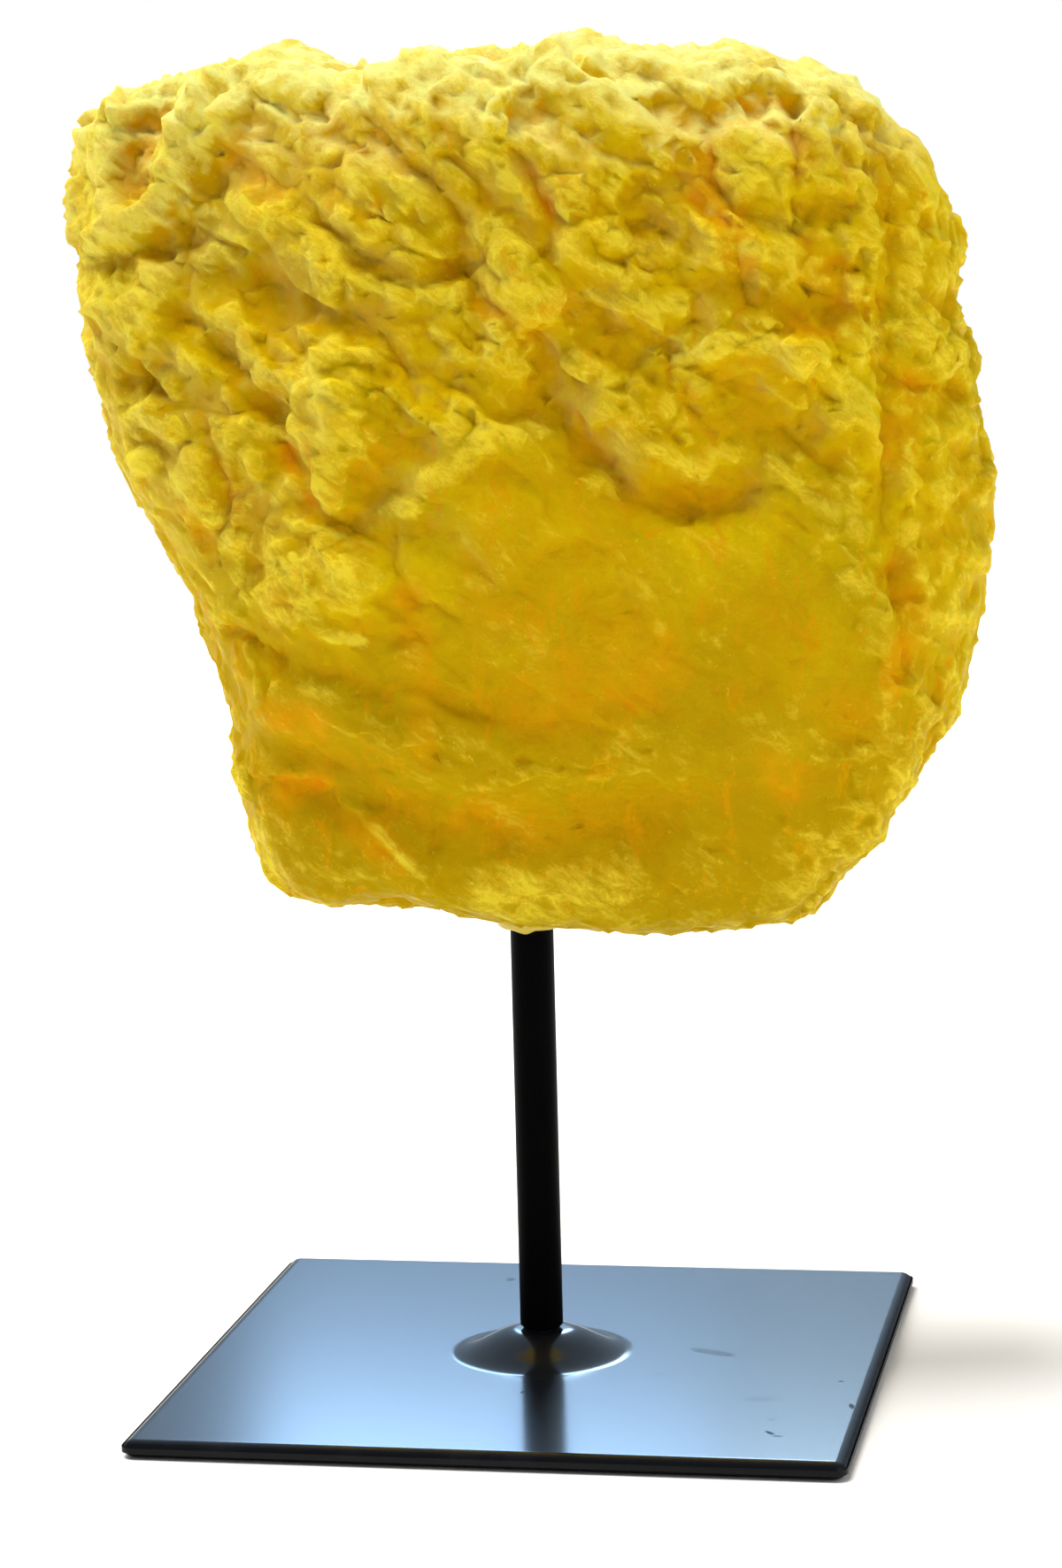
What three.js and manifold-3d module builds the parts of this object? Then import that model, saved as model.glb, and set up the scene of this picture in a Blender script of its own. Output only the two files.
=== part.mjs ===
// A rough block of native sulfur on a black steel display stand, in millimetres with +Z up.
// -Y is the front. The origin is the middle of the base plate's underside, on the rod's axis.
import * as THREE from 'three';
import { mergeVertices } from 'three/addons/utils/BufferGeometryUtils.js';
import { ImprovedNoise } from 'three/addons/math/ImprovedNoise.js';
import Module from 'manifold-3d';

const wasm = await Module();
wasm.setup();

// Driving dimensions
const GAP = 0.3;                  // kept between touching pieces
const PLATE_SIDE = 127;           // a 5 in square
const PLATE_THICKNESS = 3.2;      // 1/8 in sheet
const PLATE_CORNER = 2.4;         // corner radius in plan
const PLATE_ARRIS = 0.5;          // broken edge, top and bottom
const BOSS_BASE_RADIUS = 17.2;    // pressed boss, where it leaves the flat sheet
const BOSS_TOP_RADIUS = 5.6;      // flat seat under the rod
const BOSS_RISE = 4.4;
const BOSS_WALL = 2.6;            // the sheet thins as it is drawn
const ROD_DIAMETER = 7.94;        // 5/16 in
const ROD_REACH = 28;             // how far the rod goes into the stone
const TAP_RADIUS = 2.1;
const TAP_DEPTH = 14;
const SCREW_RADIUS = 1.8;
const SCREW_HEAD_RADIUS = 4;
const SCREW_HEAD_HEIGHT = 2.6;
const SCREW_LENGTH = 13;          // under the head
const GLUE_LINE = 0.8;            // radial thickness of the epoxy round the rod
const GLUE_COLLAR = 1.2;          // how far the bead stands below the stone
const STONE_LIFT = 80;            // from the plate's top to the stone's underside at the rod
const STONE_TURN = 10.6;          // degrees the stone is turned on the rod
const STONE_DETAIL = 15;          // subdivisions of the geodesic sphere it is drawn from

const plateTop = PLATE_THICKNESS;
const bossTop = plateTop + BOSS_RISE;
const rodRadius = ROD_DIAMETER / 2;
const stoneDatum = plateTop + STONE_LIFT;
const rodTop = stoneDatum + ROD_REACH;
const glueInner = rodRadius + GAP;
const glueOuter = glueInner + GLUE_LINE;
const socketRadius = glueOuter + GAP;
const collarRadius = glueOuter + 1.2;
const spotFaceRadius = collarRadius + 2 * GAP;
const spotFaceTop = stoneDatum + 1.6;   // flat cut by the drill's shoulder at the socket's mouth

// Booleans

function solidOf(geometry) {
  const bare = geometry.clone();
  bare.deleteAttribute('normal');
  bare.deleteAttribute('uv');
  const merged = mergeVertices(bare, 1e-4);
  return new wasm.Manifold(new wasm.Mesh({
    numProp: 3,
    vertProperties: merged.attributes.position.array,
    triVerts: new Uint32Array(merged.index.array),
  }));
}

function geometryOf(solid) {
  const mesh = solid.getMesh();
  const geometry = new THREE.BufferGeometry();
  geometry.setAttribute('position', new THREE.BufferAttribute(mesh.vertProperties, 3));
  geometry.setIndex(new THREE.BufferAttribute(mesh.triVerts, 1));
  geometry.computeVertexNormals();
  return geometry;
}

// A solid of revolution about +Z from [radius, height] points that run from the axis to the axis,
// lowest first.
function turned(profile, sides) {
  const points = profile.map(([radius, height]) => new THREE.Vector2(radius, height));
  return new THREE.LatheGeometry(points, sides).rotateX(Math.PI / 2);
}

function rodBlank(radius, low, high, sides) {
  return turned([[0, low], [radius, low], [radius, high], [0, high]], sides);
}

// The stand

// Half of the boss's section: a shallow bell between the flat sheet and the seat, with eased
// ends, shifted down by drop for the hollow under it.
function bellProfile(baseRadius, topRadius, base, rise) {
  const steps = 6;
  const profile = [];
  for (let i = 0; i <= steps; i++) {
    const share = i / steps;
    const eased = share * share * (3 - 2 * share);
    profile.push([baseRadius + (topRadius - baseRadius) * share, base + rise * eased]);
  }
  return profile;
}

function makeBasePlate() {
  const half = PLATE_SIDE / 2 - PLATE_ARRIS;
  const round = PLATE_CORNER - PLATE_ARRIS;
  const square = new THREE.Shape();
  square.moveTo(-half + round, -half);
  square.lineTo(half - round, -half);
  square.absarc(half - round, -half + round, round, -Math.PI / 2, 0);
  square.lineTo(half, half - round);
  square.absarc(half - round, half - round, round, 0, Math.PI / 2);
  square.lineTo(-half + round, half);
  square.absarc(-half + round, half - round, round, Math.PI / 2, Math.PI);
  square.lineTo(-half, -half + round);
  square.absarc(-half + round, -half + round, round, Math.PI, Math.PI * 1.5);
  const sheet = new THREE.ExtrudeGeometry(square, {
    depth: PLATE_THICKNESS - 2 * PLATE_ARRIS,
    bevelEnabled: true,
    bevelThickness: PLATE_ARRIS,
    bevelSize: PLATE_ARRIS,
    bevelSegments: 2,
    curveSegments: 6,
  });
  sheet.translate(0, 0, PLATE_ARRIS);

  const inSheet = plateTop - 1;   // the boss starts inside the sheet, so that the two join
  const boss = turned([
    [0, inSheet],
    [BOSS_BASE_RADIUS, inSheet],
    ...bellProfile(BOSS_BASE_RADIUS, BOSS_TOP_RADIUS, plateTop, BOSS_RISE),
    [0, bossTop],
  ], 48);
  const under = -1;
  const ceiling = bossTop - BOSS_WALL;
  const hollow = turned([
    [0, under],
    [BOSS_BASE_RADIUS - 1, under],
    ...bellProfile(BOSS_BASE_RADIUS - 1, BOSS_TOP_RADIUS, 0, ceiling),
    [0, ceiling],
  ], 48);
  const screwHole = rodBlank(SCREW_RADIUS + GAP, 0, bossTop + 1, 16);
  const pressed = solidOf(sheet).add(solidOf(boss));
  return geometryOf(pressed.subtract(solidOf(hollow)).subtract(solidOf(screwHole)));
}

function makeRod() {
  const chamfer = 0.5;
  const bottom = bossTop + GAP;
  const blank = turned([
    [0, bottom],
    [rodRadius - chamfer, bottom],
    [rodRadius, bottom + chamfer],
    [rodRadius, rodTop - chamfer],
    [rodRadius - chamfer, rodTop],
    [0, rodTop],
  ], 40);
  const tapped = rodBlank(TAP_RADIUS, bottom - 1, bottom + TAP_DEPTH, 16);
  return geometryOf(solidOf(blank).subtract(solidOf(tapped)));
}

function makeScrew() {
  const headTop = bossTop - BOSS_WALL - GAP;
  const headBottom = headTop - SCREW_HEAD_HEIGHT;
  const edge = 0.8;   // the pan head's rounded rim
  const blank = turned([
    [0, headBottom],
    [SCREW_HEAD_RADIUS - edge, headBottom],
    [SCREW_HEAD_RADIUS - edge / 4, headBottom + edge / 3],
    [SCREW_HEAD_RADIUS, headBottom + edge],
    [SCREW_HEAD_RADIUS, headTop],
    [SCREW_RADIUS, headTop],
    [SCREW_RADIUS, headTop + SCREW_LENGTH - edge],
    [SCREW_RADIUS - edge, headTop + SCREW_LENGTH],
    [0, headTop + SCREW_LENGTH],
  ], 24);
  const hexAcrossFlats = 2.5;
  const hexKey = new THREE.CylinderGeometry(hexAcrossFlats / 2, hexAcrossFlats / 2, 3, 6);
  hexKey.rotateX(Math.PI / 2).translate(0, 0, headBottom);
  return geometryOf(solidOf(blank).subtract(solidOf(hexKey)));
}

// A thin sleeve of epoxy in the socket, with a small bead squeezed out at its mouth.
function makeGlue() {
  const sleeveTop = rodTop - 2;
  const beadBottom = spotFaceTop - GAP - GLUE_COLLAR;
  const beadTop = spotFaceTop - GAP;
  const blank = turned([
    [glueInner, beadBottom],
    [collarRadius - 0.5, beadBottom],
    [collarRadius, beadBottom + 0.5],
    [collarRadius, beadTop],
    [glueOuter, beadTop],
    [glueOuter, sleeveTop],
    [glueInner, sleeveTop],
    [glueInner, beadBottom],
  ], 24);
  return geometryOf(solidOf(blank));
}

// The stone. Its own frame has x across the front, y into the depth and z up from the underside
// at the rod. It is drawn from a centre: each vertex of a geodesic sphere goes out along its ray
// to where the broken faces meet it.

const stoneCentre = new THREE.Vector3(3, 0, 82);

// The block's outline seen square on, anticlockwise from the underside.
const stoneOutline = [
  [1, 0], [25, -1], [49, 0], [55, 5], [58, 10], [64, 14], [65, 19], [76, 34], [80, 43],
  [84, 62], [86, 73], [85, 86], [82, 94], [83, 98], [79, 110], [79, 122], [75, 134],
  [66, 146], [60, 151], [49, 154], [41, 158], [27, 156], [12, 161], [4, 157], [-15, 158],
  [-27, 155], [-41, 160], [-50, 156], [-69, 153], [-77, 146], [-80, 133], [-77, 113],
  [-75, 99], [-71, 84], [-64, 72], [-58, 59], [-54, 45], [-52, 28], [-49, 11], [-43, 6],
  [-22, 4.5],
];

// The block's flat breaks: outward direction, and how far from the centre each one lies.
const stoneBreaks = [
  { name: 'front', out: [0, -1, 0.03], far: 33 },
  { name: 'front right flank', out: [0.78, -0.62, 0.02], far: 70 },
  { name: 'front upper left', out: [-0.42, -0.86, 0.3], far: 52 },
  { name: 'front lower left', out: [-0.5, -0.85, -0.12], far: 47 },
  { name: 'front foot', out: [0.05, -0.93, -0.37], far: 50 },
  { name: 'front brow', out: [0.1, -0.72, 0.69], far: 72 },
  { name: 'back', out: [0.08, 1, 0.05], far: 33 },
  { name: 'back left', out: [-0.55, 0.83, 0.05], far: 66 },
  { name: 'back upper right', out: [0.5, 0.8, 0.33], far: 63 },
  { name: 'back foot', out: [0.1, 0.8, -0.6], far: 62 },
];
for (const face of stoneBreaks) face.normal = new THREE.Vector3(...face.out).normalize();

// Raised and sunken features of the front: the line that each follows, its half width and height.
const frontRelief = [
  { name: 'corner pocket', path: [[-67, 142]], reach: 10, height: -4 },
  { name: 'corner ridge', path: [[-38, 152], [-50, 145], [-60, 132], [-72, 126]], reach: 8, height: 4 },
  { name: 'valley under the ridge', path: [[-65, 122], [-50, 123], [-40, 112]], reach: 9, height: -3.5 },
  { name: 'left shoulder', path: [[-70, 115], [-68, 94]], reach: 8, height: 3 },
  { name: 'left cracks', path: [[-50, 104], [-38, 88]], reach: 7, height: -3 },
  { name: 'upper blister', path: [[-33, 92]], reach: 14, height: 4 },
  { name: 'lower blister', path: [[-34, 66]], reach: 16, height: 5 },
  { name: 'great smooth face', path: [[-6, 76], [14, 60]], reach: 44, height: 4 },
  { name: 'groove over the face', path: [[4, 98], [20, 80], [36, 81]], reach: 8, height: -4 },
  { name: 'overhanging lump', path: [[2, 117]], reach: 12, height: 5 },
  { name: 'shadow under it', path: [[4, 105]], reach: 7, height: -3 },
  { name: 'upper valleys', path: [[-22, 128], [-6, 118]], reach: 8, height: -3 },
  { name: 'upper rib', path: [[-6, 146], [10, 128], [24, 112]], reach: 8, height: 3 },
  { name: 'right lumps', path: [[38, 126], [42, 116], [35, 108]], reach: 9, height: 3.5 },
  { name: 'right shelf', path: [[28, 98], [52, 104]], reach: 8, height: 3 },
  { name: 'ledge', path: [[-42, 46], [-10, 34], [16, 35], [44, 40]], reach: 9, height: 3 },
  { name: 'recess under the ledge', path: [[-40, 32], [-8, 22], [20, 24]], reach: 12, height: -4 },
];

const backRelief = [
  { name: 'back hollow', path: [[-30, 110], [-8, 96]], reach: 28, height: -4 },
  { name: 'back rib', path: [[40, 140], [20, 90], [26, 40]], reach: 16, height: 5 },
  { name: 'back ledge', path: [[-40, 50], [10, 40], [50, 52]], reach: 12, height: 4 },
  { name: 'back pocket', path: [[52, 96]], reach: 16, height: -5 },
];

// The outline's radius about the centre at any angle, from a smooth closed curve.
function makeOutlineRadius() {
  const curve = new THREE.CatmullRomCurve3(
    stoneOutline.map(([x, z]) => new THREE.Vector3(x, 0, z)), true, 'centripetal');
  const samples = curve.getPoints(480).slice(0, -1).map((point) => {
    const across = point.x - stoneCentre.x;
    const up = point.z - stoneCentre.z;
    return { angle: Math.atan2(up, across), radius: Math.hypot(across, up) };
  });
  samples.sort((a, b) => a.angle - b.angle);
  return (angle) => {
    let next = samples.findIndex((sample) => sample.angle > angle);
    if (next < 0) next = 0;
    const after = samples[next];
    const before = samples[(next + samples.length - 1) % samples.length];
    const turn = 2 * Math.PI;
    const span = (after.angle - before.angle + turn) % turn || 1;
    const share = ((angle - before.angle + turn) % turn) / span;
    return before.radius + (after.radius - before.radius) * share;
  };
}
const outlineRadius = makeOutlineRadius();

// How far the rim moves outwards for each millimetre of depth: the left side widens to the back,
// the right flank a little, and the underside rises towards the front.
function rimLean(angle, depth) {
  const left = Math.max(0, -Math.cos(angle)) * 0.14 * depth;
  const right = Math.max(0, Math.cos(angle)) * 0.02 * depth;
  const under = Math.max(0, -Math.sin(angle)) * 0.16 * Math.min(depth, 0);
  return left + right + under;
}

// Negative inside the block. A soft maximum rounds the edges between the breaks.
function outsideStone(point) {
  const edgeRounding = 3.2;
  const from = point.clone().sub(stoneCentre);
  const angle = Math.atan2(from.z, from.x);
  const rim = Math.hypot(from.x, from.z) - outlineRadius(angle) - rimLean(angle, from.y);
  const distances = [rim, ...stoneBreaks.map((face) => from.dot(face.normal) - face.far)];
  const sum = distances.reduce((total, d) => total + Math.exp(d / edgeRounding), 0);
  return edgeRounding * Math.log(sum);
}

function distanceToPath(path, x, z) {
  if (path.length === 1) return Math.hypot(x - path[0][0], z - path[0][1]);
  let nearest = Infinity;
  for (let i = 1; i < path.length; i++) {
    const [ax, az] = path[i - 1];
    const [bx, bz] = path[i];
    const along = ((x - ax) * (bx - ax) + (z - az) * (bz - az)) / ((bx - ax) ** 2 + (bz - az) ** 2);
    const share = THREE.MathUtils.clamp(along, 0, 1);
    nearest = Math.min(nearest, Math.hypot(x - ax - share * (bx - ax), z - az - share * (bz - az)));
  }
  return nearest;
}

const crust = new ImprovedNoise();

// The relief over the breaks at a point of the surface, in millimetres outwards.
function reliefAt(point) {
  const relief = point.y < 0 ? frontRelief : backRelief;
  const onFace = THREE.MathUtils.smoothstep(Math.abs(point.y), 8, 24);
  let height = 0;
  for (const feature of relief) {
    const share = 1 - distanceToPath(feature.path, point.x, point.z) / feature.reach;
    if (share > 0) height += feature.height * THREE.MathUtils.smoothstep(share, 0, 1);
  }
  const lumps = 1.8 * crust.noise(point.x / 17, point.y / 17, point.z / 17 + 7.3);
  const knobs = 0.9 * crust.noise(point.x / 8 + 3.1, point.y / 8, point.z / 8);
  return onFace * (height + lumps + knobs) + (1 - onFace) * 0.5 * knobs;
}

function makeStone() {
  const sphere = new THREE.IcosahedronGeometry(1, STONE_DETAIL);
  sphere.deleteAttribute('normal');
  sphere.deleteAttribute('uv');
  const geometry = mergeVertices(sphere, 1e-4);
  const position = geometry.attributes.position;
  const ray = new THREE.Vector3();
  const point = new THREE.Vector3();
  for (let i = 0; i < position.count; i++) {
    ray.fromBufferAttribute(position, i).normalize();
    let inside = 0;
    let outside = 140;
    for (let step = 0; step < 24; step++) {
      const middle = (inside + outside) / 2;
      point.copy(stoneCentre).addScaledVector(ray, middle);
      if (outsideStone(point) < 0) inside = middle;
      else outside = middle;
    }
    point.copy(stoneCentre).addScaledVector(ray, inside);
    position.setXYZ(i, point.x, point.y, point.z);
  }
  geometry.computeVertexNormals();
  const outward = new THREE.Vector3();
  for (let i = 0; i < position.count; i++) {
    point.fromBufferAttribute(position, i);
    outward.fromBufferAttribute(geometry.attributes.normal, i);
    point.addScaledVector(outward, reliefAt(point));
    position.setXYZ(i, point.x, point.y, point.z);
  }
  geometry.translate(0, 0, stoneDatum);
  const socket = turned([
    [0, stoneDatum - 12],
    [spotFaceRadius, stoneDatum - 12],
    [spotFaceRadius, spotFaceTop],
    [socketRadius, spotFaceTop],
    [socketRadius, rodTop + 1],
    [0, rodTop + 3],
  ], 28);
  return geometryOf(solidOf(geometry).subtract(solidOf(socket)));
}

// The assembly

const blackCoat = new THREE.MeshStandardMaterial({ color: 0x0c0d10, roughness: 0.38, metalness: 0.2 });
const rodCoat = blackCoat.clone();
const sulfur = new THREE.MeshStandardMaterial({ color: 0xe3c41c, roughness: 0.6, metalness: 0 });
const epoxy = new THREE.MeshStandardMaterial({ color: 0xd9cfa0, roughness: 0.35, metalness: 0 });
const zincSteel = new THREE.MeshStandardMaterial({ color: 0x9a9da2, roughness: 0.4, metalness: 0.9 });

function piece(name, geometry, material) {
  const mesh = new THREE.Mesh(geometry, material);
  mesh.name = name;
  return mesh;
}

const stand = new THREE.Group();
stand.add(
  piece('base_plate', makeBasePlate(), blackCoat),
  piece('base_screw', makeScrew(), zincSteel),
  piece('support_rod', makeRod(), rodCoat),
);

const specimen = new THREE.Group();
specimen.add(
  piece('sulfur_mass', makeStone(), sulfur),
  piece('epoxy_bead', makeGlue(), epoxy),
);
specimen.rotation.z = THREE.MathUtils.degToRad(STONE_TURN);

const group = new THREE.Group();
group.add(stand, specimen);

export default group;
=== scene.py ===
import itertools
import math

import bpy
import numpy as np
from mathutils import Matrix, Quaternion, Vector


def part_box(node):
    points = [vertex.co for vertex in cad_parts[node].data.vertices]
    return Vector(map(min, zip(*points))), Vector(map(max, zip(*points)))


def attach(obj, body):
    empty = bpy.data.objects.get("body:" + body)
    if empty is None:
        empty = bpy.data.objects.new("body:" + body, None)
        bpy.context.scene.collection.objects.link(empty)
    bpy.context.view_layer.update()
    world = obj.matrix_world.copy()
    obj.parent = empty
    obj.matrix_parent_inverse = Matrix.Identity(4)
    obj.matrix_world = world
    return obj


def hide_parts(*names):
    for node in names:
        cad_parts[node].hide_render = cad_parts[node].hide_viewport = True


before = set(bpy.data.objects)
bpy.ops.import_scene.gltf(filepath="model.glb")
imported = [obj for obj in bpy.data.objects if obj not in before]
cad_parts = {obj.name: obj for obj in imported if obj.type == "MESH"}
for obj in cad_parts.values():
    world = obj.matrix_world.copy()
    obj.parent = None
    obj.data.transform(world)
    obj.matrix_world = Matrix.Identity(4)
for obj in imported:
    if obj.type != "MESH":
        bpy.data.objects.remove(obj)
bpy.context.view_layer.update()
MM = 0.001


# ---------------------------------------------------------------------------------------------
# Base plate. A 127 mm square of 3.2 mm steel sheet with its edges broken and a shallow bell
# pressed up at the middle to seat the rod and hide the screw's head under it. It is finished
# in satin black powder coat, with a few scuffs and specks from handling.
# ---------------------------------------------------------------------------------------------
PLATE_THICKNESS = 3.2 * MM
PLATE_CORNER = 2.4 * MM
PLATE_ARRIS = 0.55 * MM
BOSS_BASE_RADIUS = 17.2 * MM
BOSS_SEAT_RADIUS = 4.3 * MM
BOSS_WALL = 2.6 * MM
SCREW_RADIUS = 1.8 * MM
TOUCH_GAP = 0.3 * MM

plate_low, plate_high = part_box("base_plate")
plate_side = plate_high.x - plate_low.x
boss_top = plate_high.z
boss_rise = boss_top - PLATE_THICKNESS


def select_none():
    if bpy.context.object and bpy.context.object.mode != "OBJECT":
        bpy.ops.object.mode_set(mode="OBJECT")
    bpy.ops.object.select_all(action="DESELECT")


def make_active(piece):
    select_none()
    piece.select_set(True)
    bpy.context.view_layer.objects.active = piece


def apply_modifier(piece, kind, **settings):
    make_active(piece)
    bpy.ops.object.modifier_add(type=kind)
    modifier = piece.modifiers[-1]
    for name, value in settings.items():
        setattr(modifier, name, value)
    bpy.ops.object.modifier_apply(modifier=modifier.name)


def turned(name, profile, steps):
    """A solid of revolution: a profile of (radius, height) points spun a full turn about Z."""
    mesh = bpy.data.meshes.new(name)
    points = [(radius, 0, height) for radius, height in profile]
    mesh.from_pydata(points, [(i, i + 1) for i in range(len(points) - 1)], [])
    piece = bpy.data.objects.new(name, mesh)
    bpy.context.collection.objects.link(piece)
    make_active(piece)
    bpy.ops.object.mode_set(mode="EDIT")
    bpy.ops.mesh.select_all(action="SELECT")
    bpy.ops.mesh.spin(steps=steps, angle=2 * math.pi, center=(0, 0, 0), axis=(0, 0, 1))
    bpy.ops.mesh.select_all(action="SELECT")
    bpy.ops.mesh.remove_doubles(threshold=1e-6)
    bpy.ops.mesh.normals_make_consistent(inside=False)
    bpy.ops.object.mode_set(mode="OBJECT")
    return piece


def bell(base_radius, seat_radius, base, rise, steps=24):
    """Half the section of the pressed bell, from the flat sheet up to the rod's seat."""
    profile = []
    for i in range(steps + 1):
        share = i / steps
        eased = share * share * (3 - 2 * share)
        profile.append((base_radius + (seat_radius - base_radius) * share, base + rise * eased))
    return profile


def cut(piece, tool, operation="DIFFERENCE"):
    apply_modifier(piece, "BOOLEAN", operation=operation, object=tool, solver="MANIFOLD")
    bpy.data.objects.remove(tool)


def smooth_by_angle(piece, degrees):
    make_active(piece)
    bpy.ops.object.shade_smooth_by_angle(angle=math.radians(degrees))
    apply_modifier(piece, "WEIGHTED_NORMAL", keep_sharp=True, weight=90)


def finish_piece(piece, node, material):
    """The piece stands for its CAD node, moves with the stand and takes the material given."""
    piece.data.materials.clear()
    piece.data.materials.append(material)
    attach(piece, "root")
    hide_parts(node)


def make_plate():
    select_none()
    bpy.ops.mesh.primitive_cube_add(size=1, location=(0, 0, PLATE_THICKNESS / 2))
    plate = bpy.context.object
    plate.name = "plate_sheet"
    bpy.ops.object.mode_set(mode="EDIT")
    bpy.ops.transform.resize(value=(plate_side, plate_side, PLATE_THICKNESS))
    bpy.ops.mesh.select_all(action="DESELECT")
    bpy.ops.object.mode_set(mode="OBJECT")
    for edge in plate.data.edges:
        a, b = (plate.data.vertices[i].co for i in edge.vertices)
        edge.select = abs(a.z - b.z) > PLATE_THICKNESS / 2
    bpy.ops.object.mode_set(mode="EDIT")
    bpy.ops.mesh.select_mode(type="EDGE")
    bpy.ops.mesh.bevel(offset=PLATE_CORNER, segments=8, profile=0.5)
    bpy.ops.object.mode_set(mode="OBJECT")
    bpy.ops.object.transform_apply(location=True, rotation=True, scale=True)
    apply_modifier(plate, "BEVEL", width=PLATE_ARRIS, segments=4, limit_method="ANGLE",
                   angle_limit=math.radians(60))
    in_sheet = PLATE_THICKNESS - 1 * MM
    cut(plate, turned("boss", [(0, in_sheet), (BOSS_BASE_RADIUS, in_sheet)]
                      + bell(BOSS_BASE_RADIUS, BOSS_SEAT_RADIUS, PLATE_THICKNESS, boss_rise)
                      + [(0, boss_top)], 160), "UNION")
    ceiling = boss_top - BOSS_WALL
    under = -1 * MM
    hollow_radius = BOSS_BASE_RADIUS - 1 * MM
    cut(plate, turned("hollow", [(0, under), (hollow_radius, under)]
                      + bell(hollow_radius, BOSS_SEAT_RADIUS, 0, ceiling)
                      + [(0, ceiling)], 96))
    hole = SCREW_RADIUS + TOUCH_GAP
    cut(plate, turned("screw_hole", [(0, 0), (hole, 0), (hole, boss_top + MM), (0, boss_top + MM)], 48))
    smooth_by_angle(plate, 35)
    return plate


class NodePen:
    """Adds nodes to a material or a node group, each linked up as it is added."""

    def __init__(self, tree):
        self.nodes = tree.nodes
        self.links = tree.links
        self.place = self.add("TexCoord", {})["Object"]

    def put(self, socket, value):
        """Set a socket: from another node's output, or to a plain value."""
        if isinstance(value, bpy.types.NodeSocket):
            self.links.new(value, socket)
        else:
            socket.default_value = value

    def add(self, kind, inputs, **settings):
        node = self.nodes.new("ShaderNode" + kind)
        for name, value in settings.items():
            setattr(node, name, value)
        for name, value in inputs.items():
            self.put(node.inputs[name], value)
        return node.outputs

    def noise(self, scale, detail, roughness=0.5, distortion=0, place=None):
        return self.add("TexNoise", {"Vector": place or self.place, "Scale": scale, "Detail": detail,
                                     "Roughness": roughness, "Distortion": distortion})["Fac"]

    def ranged(self, value, low, high, to_low=0.0, to_high=1.0, **settings):
        return self.add("MapRange", {"Value": value, "From Min": low, "From Max": high,
                                     "To Min": to_low, "To Max": to_high}, **settings)["Result"]

    def maths(self, operation, a, b):
        return self.add("Math", {0: a, 1: b}, operation=operation)["Value"]

    def blend(self, share, a, b):
        """Colour a where the share is 0, and colour b where it is 1."""
        a, b = ((*colour, 1) if isinstance(colour, tuple) else colour for colour in (a, b))
        return self.add("Mix", {"Factor": share, "A": a, "B": b}, data_type="RGBA")["Result"]

    def bump(self, height, strength, distance):
        return self.add("Bump", {"Height": height, "Strength": strength, "Distance": distance})["Normal"]


def new_material(name):
    material = bpy.data.materials.new(name)
    material.use_nodes = True
    tree = material.node_tree
    return material, NodePen(tree), tree.nodes["Principled BSDF"].inputs


def new_group(name, sockets_in, sockets_out):
    """A shader node group with the sockets named, and the kind of each."""
    group = bpy.data.node_groups.new(name, "ShaderNodeTree")
    for in_out, sockets in (("INPUT", sockets_in), ("OUTPUT", sockets_out)):
        for socket, kind in sockets.items():
            group.interface.new_socket(name=socket, in_out=in_out, socket_type="NodeSocket" + kind)
    inputs = group.nodes.new("NodeGroupInput").outputs
    outputs = group.nodes.new("NodeGroupOutput").inputs
    return group, NodePen(group), inputs, outputs


def make_coat_texture():
    """Powder coat: faint orange peel, and the dust that settles on it."""
    group, pen, inputs, outputs = new_group(
        "coat_texture", {"Peel Scale": "Float", "Peel Height": "Float"},
        {"Normal": "Vector", "Dust": "Float"})
    peel = pen.noise(inputs["Peel Scale"], 2)
    pen.put(outputs["Normal"], pen.bump(peel, inputs["Peel Height"], 0.02 * MM))
    pen.put(outputs["Dust"], pen.ranged(pen.noise(55, 9, 0.72), 0.52, 0.8))
    return group


coat_texture = make_coat_texture()

# Marks on the plate's top: place and half lengths in mm, turn in degrees, strength.
plate_marks = [
    ("long smudge", 31.7, 1.6, 6.6, 1.9, -22, 0.4),
    ("smear", 44.4, -27.0, 5.0, 2.4, 10, 0.1),
    ("faint wipe", 24.1, -13.5, 3.4, 0.8, 12, 0.15),
    ("front chip", 48.3, -46.6, 1.7, 0.6, -50, 0.95),
    ("front chip tail", 49.9, -48.4, 1.1, 0.5, 0, 0.95),
    ("right chip", 60.8, -29.7, 0.6, 2.0, 12, 0.95),
    ("pale scratch", 47.8, -38.9, 1.8, 0.5, 14, 0.3),
    ("right speck", 57.3, -14.8, 0.8, 0.7, 0, 0.5),
    ("back speck", -15.3, 48.8, 1.3, 1.6, 0, 0.5),
    ("boss speck", 1.2, -27.0, 0.5, 0.9, 0, 0.7),
]


def make_scuff():
    """One scuff: an oval whose edge is broken up by noise. Puts out its mask."""
    group, pen, inputs, outputs = new_group(
        "scuff_mark", {"Place": "Vector", "Half Size": "Vector", "Turn": "Vector", "Strength": "Float"},
        {"Mask": "Float"})
    oval = pen.add("Mapping", {"Vector": pen.place, "Location": inputs["Place"], "Rotation": inputs["Turn"],
                               "Scale": inputs["Half Size"]}, vector_type="TEXTURE")["Vector"]
    reach = pen.add("VectorMath", {0: oval}, operation="LENGTH")["Value"]
    ragged = pen.maths("ADD", reach, pen.noise(900, 4))
    mask = pen.ranged(ragged, 1.45, 0.95, interpolation_type="SMOOTHSTEP")
    pen.put(outputs["Mask"], pen.maths("MULTIPLY", mask, inputs["Strength"]))
    return group


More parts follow.
